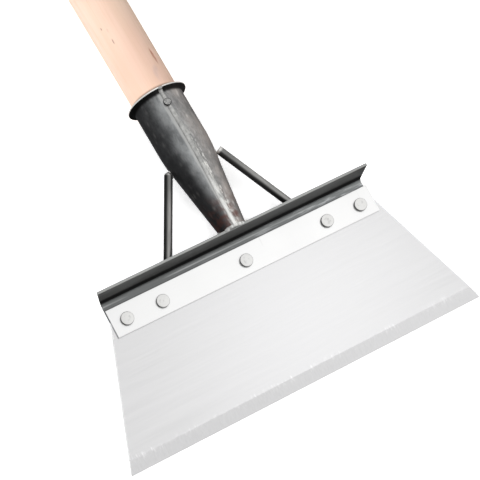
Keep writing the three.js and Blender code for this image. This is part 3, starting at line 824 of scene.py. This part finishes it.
fold_centre = (FLANGE_FOOT.y - FOLD_RADIUS * math.tan(FLANGE_ANGLE / 2), LEG_FRONT + FOLD_RADIUS)
fold_degrees = math.degrees(FLANGE_ANGLE) - 90
flange_top = FLANGE_FOOT + flange_up * FLANGE_WIDTH
flange_back = flange_top + flange_out * BAR_SHEET
bar_outline = [(LEG_LOW, LEG_FRONT - BAR_SHEET)]
bar_outline += arc(fold_centre, FOLD_RADIUS + BAR_SHEET, -90, fold_degrees, 16)
bar_outline += [(flange_back.y, flange_back.z), (flange_top.y, flange_top.z)]
bar_outline += arc(fold_centre, FOLD_RADIUS, fold_degrees, -90, 12)
bar_outline += [(LEG_LOW, LEG_FRONT)]

scaled = Finish("hot_rolled_scale", head_place, Metallic=0.6, Specular_IOR_Level=0.4)
bar_patch = scaled.cloud(70, 4, 0.6, (4, 1, 1))
bar_fine = scaled.cloud(1100, 3, 0.6, (3, 1, 1))
up_flange = scaled.y * flange_up.y + scaled.z * flange_up.z - FLANGE_FOOT.dot(flange_up)
scale_tones = ((0.075, 0.075, 0.072), (0.15, 0.152, 0.15))
scaled.colour = scaled.mixed(bar_patch.between(0.3, 0.7), *scale_tones)
# Painted shade: the fold and the lower part of the flange are painted near-black, rougher and more
# metallic.
fold_shade = up_flange.between(-0.0025, 0.0005) * (1 - up_flange.between(0.0045, 0.0085))
fold_shade = fold_shade * scaled.z.between(0.0002, 0.0012)
scaled.paint(fold_shade * 0.9, (0.012, 0.012, 0.012))
# Painted light: the leg's band between clamp strip and fold is painted paler, more so towards the
# right.
on_leg = (1 - scaled.z.between(0.0002, 0.003)) * (1 - scaled.y.between(*FOLD_BEGIN))
leg_light = scaled.x.between(-0.07, 0.10)
scaled.paint(on_leg * (0.45 + leg_light * 0.4), (0.27, 0.285, 0.287))
# Painted highlight: a thin pale line where the leg starts to turn into the fold.
fold_highlight = 1 - (scaled.y - FOLD_HIGHLIGHT_LINE).size().between(0.0002, 0.0008)
fold_highlight = fold_highlight * scaled.cloud(60, 2, 0.5, (3, 1, 1)).between(0.35, 0.55)
scaled.paint(fold_highlight * on_leg * 0.6, (0.52, 0.53, 0.53))
strip_shade = (1 - (scaled.y - STRIP_TOP).between(0.0003, 0.0013)) * on_leg
scaled.paint(strip_shade * 0.8, (0.06, 0.06, 0.06))
# Pale scratches on the leg, stronger towards the right with the painted light.
leg_scratch = scaled.cloud(500, 3, 0.6, (8, 1, 1)).between(0.5, 0.68) * on_leg
scaled.paint(leg_scratch * leg_light * 0.6, (0.75, 0.77, 0.79))
top_edge = up_flange.between(FLANGE_WIDTH - 0.0009, FLANGE_WIDTH - 0.0001)
scaled.paint(top_edge * (0.45 + bar_patch * 0.5), (0.46, 0.47, 0.46))
rub = scaled.flecks(160, 0.22, (2.5, 1, 1)) * scaled.cloud(90, 2).between(0.56, 0.66)
scaled.paint(rub * 0.35, (0.40, 0.40, 0.39))
scaled_dull = 0.42 + bar_patch * 0.2 + fold_shade * 0.35
scaled.set(Base_Color=scaled.colour, Roughness=scaled_dull, Metallic=0.6 + fold_shade * 0.35)
scaled.relief(bar_patch * 0.08 + bar_fine * 0.03)

bar_form = extruded_form(bar_outline, LEG_LENGTH, 56)
for corner in bar_form.verts:
    up = max(0, corner.co.z - LEG_FRONT) / (flange_top.z - LEG_FRONT)
    corner.co.x += FLANGE_FLARE * up * corner.co.x / (LEG_LENGTH / 2)
angle_bar = piece_from(bar_form, "angle_bar", head_place, scaled)
softened(angle_bar, BAR_SOFTEN)
fixed(angle_bar, "black_steel", "angle_bar")


# ---------------------------------------------------------------------------------------------
# Blade: a trapezoid of 2 mm spring steel, brushed along the cutting edge, with a bevel ground
# across on its front. The other side is flat. It is held by the five rivets alone.
EDGE_LENGTH = 0.300
SHOULDER_LENGTH = 0.218
BLADE_HEIGHT = 0.113
BLADE_SHEET = 0.002
BEVEL_WIDTH = 0.010
BLADE_SOFTEN = 0.00018
SIDE_SLOPE = (EDGE_LENGTH - SHOULDER_LENGTH) / 2 / BLADE_HEIGHT


def side_x(y):
    """Half the blade's width at a height above its cutting edge."""
    return EDGE_LENGTH / 2 - SIDE_SLOPE * y


blade_form = bmesh.new()
blade_section = [(0, 0), (0, EDGE_LAND), (BEVEL_WIDTH, BLADE_SHEET)]
blade_section += [(BLADE_HEIGHT, BLADE_SHEET), (BLADE_HEIGHT, 0)]
blade_ends = [
    [blade_form.verts.new((side * side_x(y), y, z)) for y, z in blade_section] for side in (-1, 1)
]
for i in range(len(blade_section)):
    j = (i + 1) % len(blade_section)
    blade_form.faces.new((blade_ends[0][i], blade_ends[0][j], blade_ends[1][j], blade_ends[1][i]))
blade_form.faces.new(blade_ends[0])
blade_form.faces.new(blade_ends[1])

brushed = Finish("brushed_spring_steel", head_place, Metallic=1.0)
long_grain = brushed.cloud(2400, 3, 0.7, (70, 1, 1))
long_streak = brushed.cloud(260, 2, 0.5, (22, 1, 1))
cross_grain = brushed.cloud(1500, 3, 0.7, (1, 14, 1))
sheen = brushed.cloud(7, 1.5, 0.5, (1.4, 1, 1))
wander = brushed.cloud(160, 4, 0.7, (1, 3, 1)) * 0.0042 - 0.0012
ground = 1 - (brushed.y + wander - BEVEL_WIDTH).between(0.0004, 0.0012)
ground = ground * brushed.z.between(0.00025, 0.0004)
steel_tone = 0.80 + long_grain * 0.08 + long_streak * 0.12 + sheen * 0.06
ground_tone = 0.79 + cross_grain * 0.22 + brushed.x.between(-0.12, 0.12) * 0.05
tone = steel_tone + (ground_tone - steel_tone) * ground
near_bevel = 1 - (brushed.y - BEVEL_WIDTH).size().between(0.001, 0.0035)
grind_marks = brushed.cloud(800, 2, 0.6, (1, 9, 1)).between(0.53, 0.68)
grind_marks = grind_marks * near_bevel * brushed.cloud(45, 1).between(0.38, 0.55)
from_side = EDGE_LENGTH / 2 - (brushed.x.size() + brushed.y * SIDE_SLOPE)
# Painted highlight: the blade's sheared side edges are painted near-white and made less metallic.
sheared_edge_highlight = 1 - from_side.between(0.0002, 0.0006)
brushed.colour = brushed.shaded((0.725, 0.725, 0.735), tone + grind_marks * 0.15)
brushed.paint(sheared_edge_highlight * 0.9, (0.96, 0.96, 0.96))
brushed_dull = 0.20 + long_streak * 0.08 + ground * 0.08
brushed.set(Base_Color=brushed.colour, Roughness=brushed_dull, Metallic=1 - sheared_edge_highlight * 0.8)
brushed.relief(long_grain * 0.012 * (1 - ground) + cross_grain * 0.02 * ground)

blade = piece_from(blade_form, "blade", head_place, brushed, sharp=5)
softened(blade, BLADE_SOFTEN, angle=30)
fixed(blade, "blade_steel", "blade")


# ---------------------------------------------------------------------------------------------
# Clamp strip: a bright flat bar over the blade's upper edge, which spreads the rivets' grip.
# Its lower edge lies over the lower edge of the angle bar's leg.
STRIP_LENGTH = 0.224
STRIP_SHEET = 0.0015
STRIP_BACK = 0.0023
STRIP_SOFTEN = 0.00022

strip_corners = [
    (LEG_LOW, STRIP_BACK),
    (LEG_LOW, STRIP_BACK + STRIP_SHEET),
    (STRIP_TOP, STRIP_BACK + STRIP_SHEET),
    (STRIP_TOP, STRIP_BACK),
]
bright = Finish("bright_strip_steel", head_place, Metallic=1.0)
strip_grain = bright.cloud(1800, 3, 0.7, (40, 1, 1))
strip_cloud = bright.cloud(35, 2, 0.5)
hairline = bright.cloud(700, 2, 0.5, (1, 30, 1)).between(0.66, 0.72)
hairline = hairline * bright.cloud(50, 1).between(0.5, 0.6)
strip_tone = 0.95 + strip_grain * 0.04 + strip_cloud * 0.02 - hairline * 0.06
bright.colour = bright.shaded((0.865, 0.868, 0.87), strip_tone)
bright.set(Base_Color=bright.colour, Roughness=0.26 + strip_cloud * 0.1)
bright.relief(strip_grain * 0.008 + strip_cloud * 0.02)

strip_form = extruded_form(strip_corners, STRIP_LENGTH, 1)
clamp_strip = piece_from(strip_form, "clamp_strip", head_place, bright)
softened(clamp_strip, STRIP_SOFTEN)
fixed(clamp_strip, "strip_steel", "clamp_strip")


# ---------------------------------------------------------------------------------------------
# Blade rivets: five steel rivets with flat round heads in front, through strip, blade and leg.
# Their tails are hammered over behind. One sits in the middle and a pair near each end.
RIVET_LINE = 0.1025
RIVET_REACH = 0.100
RIVET_PAIR = 0.0295
HEAD_RADIUS = 0.005
HEAD_SEAT = 0.00395
HEAD_HEIGHT = 0.0021
HEAD_SOFTEN = 0.0005
SHANK_RADIUS = 0.0025
TAIL_RADIUS = 0.0045
TAIL_SEAT = -0.0024
TAIL_HEIGHT = 0.0018
TAIL_INSET = 0.0008
TAIL_SOFTEN = 0.0007
TAIL_CROWN = 0.00008
HEAD_LIP = 0.00015


def rivet_row_tree():
    """A row of rivets along x: one in the middle and a pair towards each end, each turned."""
    inputs = {
        "Rivet": ("Geometry", None),
        "Reach": ("Float", 0.1),
        "Pair pitch": ("Float", 0.03),
        "Seed": ("Int", 1),
        "Metal": ("Material", None),
    }
    tree = node_group("rivet_row", inputs, "Row")
    row = Nodes(tree)
    given = row.node("NodeGroupInput")
    points = row.node("GeometryNodePoints", None, {"Count": 5})
    step = row.node("GeometryNodeInputIndex") - 2
    side = row.sum("SIGN", step)
    place = side * (given.output("Reach") - given.output("Pair pitch") * (2 - step.size()))
    spot = row.node("ShaderNodeCombineXYZ", None, {"X": place})
    points = row.node("GeometryNodeSetPosition", None, {"Geometry": points, "Position": spot})
    draw = {"Max_001": 2 * math.pi, "Seed": given.output("Seed")}
    turn = row.node("FunctionNodeRandomValue", None, draw, "Value_001")
    turned = row.node("ShaderNodeCombineXYZ", None, {"Z": turn})
    placed = {"Points": points, "Instance": given.output("Rivet"), "Rotation": turned}
    copies = row.node("GeometryNodeInstanceOnPoints", None, placed)
    whole = row.node("GeometryNodeRealizeInstances", None, {"Geometry": copies})
    coated = {"Geometry": whole, "Material": given.output("Metal")}
    finished = row.node("GeometryNodeSetMaterial", None, coated)
    row.feed(tree.nodes.new("NodeGroupOutput").inputs["Row"], finished)
    return tree


tail_end = TAIL_SEAT - TAIL_HEIGHT
head_top = HEAD_SEAT + HEAD_HEIGHT
tail_round = (TAIL_RADIUS - TAIL_INSET, tail_end + TAIL_INSET)
head_round = (HEAD_RADIUS - HEAD_SOFTEN, head_top - HEAD_SOFTEN)
rivet_outline = [(0, tail_end), (TAIL_RADIUS * 0.6, tail_end + TAIL_CROWN)]
rivet_outline += arc(tail_round, TAIL_SOFTEN, -80, 0, 6)
rivet_outline += [(TAIL_RADIUS, TAIL_SEAT), (SHANK_RADIUS, TAIL_SEAT), (SHANK_RADIUS, HEAD_SEAT)]
rivet_outline += [(HEAD_RADIUS - HEAD_LIP, HEAD_SEAT), (HEAD_RADIUS, HEAD_SEAT + HEAD_LIP)]
rivet_outline += arc(head_round, HEAD_SOFTEN, 0, 90, 6) + [(0, head_top)]

rivet_place = head_place @ Matrix.Translation((0, RIVET_LINE, 0))
rivet_steel = Finish("bright_rivet_steel", rivet_place, Metallic=1.0)
inner_x = RIVET_REACH - RIVET_PAIR
mirrored_x = rivet_steel.x.size()
near_pair = (mirrored_x - (inner_x + RIVET_REACH) / 2).size() - RIVET_PAIR / 2
beside_x = rivet_steel.sum("MINIMUM", mirrored_x, near_pair.size())
off_axis = (beside_x * beside_x + rivet_steel.y * rivet_steel.y) ** 0.5
# Painted shade: a dark ring painted round the edge of each rivet head.
head_edge_shade = off_axis.between(HEAD_RADIUS - 0.0004, HEAD_RADIUS - 0.00005)
head_mottle = rivet_steel.cloud(650, 3, 0.6)
head_middle = 1 - off_axis.between(0.0022, 0.0036)
head_mark = rivet_steel.cloud(330, 2, 0.6).between(0.52, 0.62) * head_middle
rivet_tone = 0.80 + head_mottle * 0.16 - head_mark * 0.14
rivet_steel.colour = rivet_steel.shaded((0.86, 0.86, 0.85), rivet_tone)
rivet_steel.paint(head_edge_shade * 0.85, (0.10, 0.10, 0.10))
rivet_steel.set(Base_Color=rivet_steel.colour, Roughness=0.30 + head_mottle * 0.16)
rivet_steel.relief(head_mottle * 0.05 - head_mark * 0.05)

one_rivet = piece_from(turned_form(rivet_outline, 56), "rivet", Matrix.Identity(4), rivet_steel)
blade_rivets = made_by(
    rivet_row_tree(),
    one_rivet,
    "blade_rivets",
    reach=RIVET_REACH,
    pair_pitch=RIVET_PAIR,
    seed=5,
    metal=rivet_steel.material,
)
blade_rivets.data.transform(rivet_place)
rivet_spots = ("left_outer", "left_inner", "middle", "right_inner", "right_outer")
rivet_nodes = [f"blade_rivet_{spot}" for spot in rivet_spots]
fixed(blade_rivets, "rivet_steel", *rivet_nodes)


# ---------------------------------------------------------------------------------------------
# Braces: two round bars from the socket's flanks down to the flange's outer face, welded at
# both ends. The left one's upper end is ground round; the right one is cut off square.
BRACE_RADIUS = 0.00325
BRACE_TOP_RISE = 0.059
BRACE_FORWARD = 0.0017
BRACE_SPREAD = 0.0547
BRACE_FOOT_LEVEL = 0.0015
BRACE_END = 0.0015
BRACE_FOOT_STRAIGHT = 0.002
END_ROUNDS = {"left": 0.0027, "right": 0.0004}
FOOT_COLLAR = 0.0037
COLLAR_LIFT = 0.0010
COLLAR_STEPS = 40
TOP_BEAD = (-0.0025, 0.0060)  # rise of its lower end from the brace's top, and its length
TOP_BEAD_TURNS = (101, 96)  # degrees round the socket from its front, at either end
TOP_BEAD_PROUD = 0.0002


def brace_line(side):
    """The brace's centre line: where it meets the flange's outer face, and its upper end."""
    touch = socket_radius(BRACE_TOP_RISE) + BRACE_RADIUS
    top = socket_place @ Vector((side * touch, BRACE_TOP_RISE, BRACE_FORWARD))
    up = (BRACE_FOOT_LEVEL - FLANGE_FOOT.z) / math.sin(FLANGE_ANGLE)
    foot = FLANGE_FOOT + flange_up * up + flange_out * BAR_SHEET
    foot.x = side * BRACE_SPREAD
    return head_place @ foot, top


foot_sizes = {"width": 0.0030, "height": 0.0030, "ripple_pitch": 0.0018}
foot_sizes.update(ripple_depth=0.0003, unevenness=0.0005)
top_sizes = {"width": 0.0032, "height": 0.0032, "ripple_pitch": 0.0016}
top_sizes.update(ripple_depth=0.0003, unevenness=0.0006)

for side_name, side in (("left", -1), ("right", 1)):
    brace_name = f"brace_{side_name}"
    end_round = END_ROUNDS[side_name]
    foot, top = brace_line(side)
    along = (top - foot).normalized()
    length = (top - foot).length + BRACE_END
    brace_place = Matrix.Translation(foot) @ along.to_track_quat("Z", "Y").to_matrix().to_4x4()
    brace_outline = [(0, -BRACE_RADIUS), (BRACE_RADIUS, -BRACE_RADIUS)]
    straight = spread(BRACE_FOOT_STRAIGHT, length - end_round - 0.0001, 24)
    brace_outline += [(BRACE_RADIUS, rise) for rise in straight]
    brace_outline += arc((BRACE_RADIUS - end_round, length - end_round), end_round, 0, 90, 8)
    brace_outline += [(0, length)]
    brace_form = turned_form(brace_outline, 48)
    cut_at_flange(brace_form, brace_place)

    rod = Finish(f"{brace_name}_rod_steel", brace_place, Metallic=0.9, Specular_IOR_Level=0.4)
    rod_patch = rod.cloud(120, 3, 0.6, (1, 1, 5))
    rod_fine = rod.cloud(1200, 3, 0.6, (1, 1, 4))
    rod.colour = rod.mixed(rod_patch.between(0.3, 0.7), (0.17, 0.17, 0.166), (0.38, 0.376, 0.366))
    # Painted highlight: the brace's upper end is painted pale.
    end_highlight = rod.z.between(length - 0.0030, length - 0.0010)
    rod.paint(end_highlight * 0.85, (0.74, 0.73, 0.71))
    # Painted shade: one side of the rod is painted near-black along its length, but not at its
    # upper end.
    rod_side_shade = rod.x.between(0.0002, 0.0020) * (1 - end_highlight)
    rod.paint(rod_side_shade * 0.85, (0.02, 0.02, 0.02))
    rod.set(Base_Color=rod.colour, Roughness=0.25 + rod_patch * 0.12)
    rod.relief(rod_patch * 0.06 + rod_fine * 0.04)
    brace = piece_from(brace_form, brace_name, brace_place, rod)
    fixed(brace, "black_steel", brace_name)

    # Weld round its foot on the flange, and a short one along the socket's flank at its top.
    uphill, across, outward = (
        head_place.to_3x3() @ way for way in (flange_up, Vector((1, 0, 0)), flange_out)
    )
    wide = FOOT_COLLAR / abs(along.dot(outward))
    collar = []
    for turn in spread(0, 2 * math.pi, COLLAR_STEPS)[:-1]:
        way = across * math.cos(turn) * wide + uphill * math.sin(turn) * FOOT_COLLAR
        collar.append(foot + outward * COLLAR_LIFT + way)
    laid_weld(f"{brace_name}_foot_weld", collar, weld, closed=True, seed=17.0 + side, **foot_sizes)
    behind = []
    for step in spread(0, 1, 14):
        rise = BRACE_TOP_RISE + TOP_BEAD[0] + TOP_BEAD[1] * step
        turn = math.radians(TOP_BEAD_TURNS[0] + (TOP_BEAD_TURNS[1] - TOP_BEAD_TURNS[0]) * step)
        out = socket_radius(rise) + TOP_BEAD_PROUD
        spot = Vector((side * out * math.sin(turn), rise, out * math.cos(turn)))
        behind.append(socket_place @ spot)
    laid_weld(f"{brace_name}_top_weld", behind, rod, seed=23.0 + side, **top_sizes)
